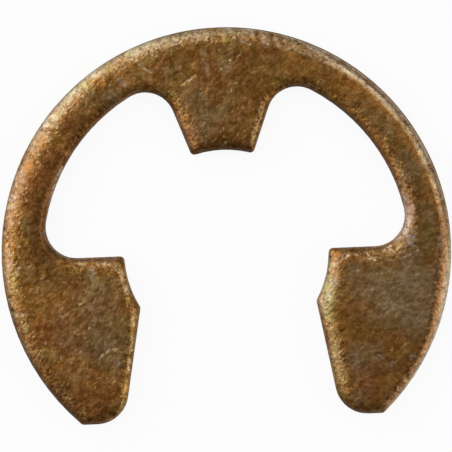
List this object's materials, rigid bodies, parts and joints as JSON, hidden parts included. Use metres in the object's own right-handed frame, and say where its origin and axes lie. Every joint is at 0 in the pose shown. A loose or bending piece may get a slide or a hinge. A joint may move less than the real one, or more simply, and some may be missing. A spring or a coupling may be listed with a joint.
{
  "type": "e clip",
  "caption": "Flat stamped E-shaped retaining ring that snaps sideways into a shaft groove: centre prong, leg prongs with grip points, flared mouth.",
  "frame": {"origin": "on the axis of the shaft that the clip grips, in the plane of its lower, broken-away face, on which it lies", "axes": "+Z along the shaft's axis, from the broken-away face to the rolled face; +Y from the centre along the centre prong; the mouth opens towards -Y"},
  "size_m": [0.0168, 0.0146, 0.0009],
  "materials": {
    "plated_steel": "satin"
  },
  "bodies": {
    "root": {"e_clip": "plated_steel"}
  },
  "joints": []
}
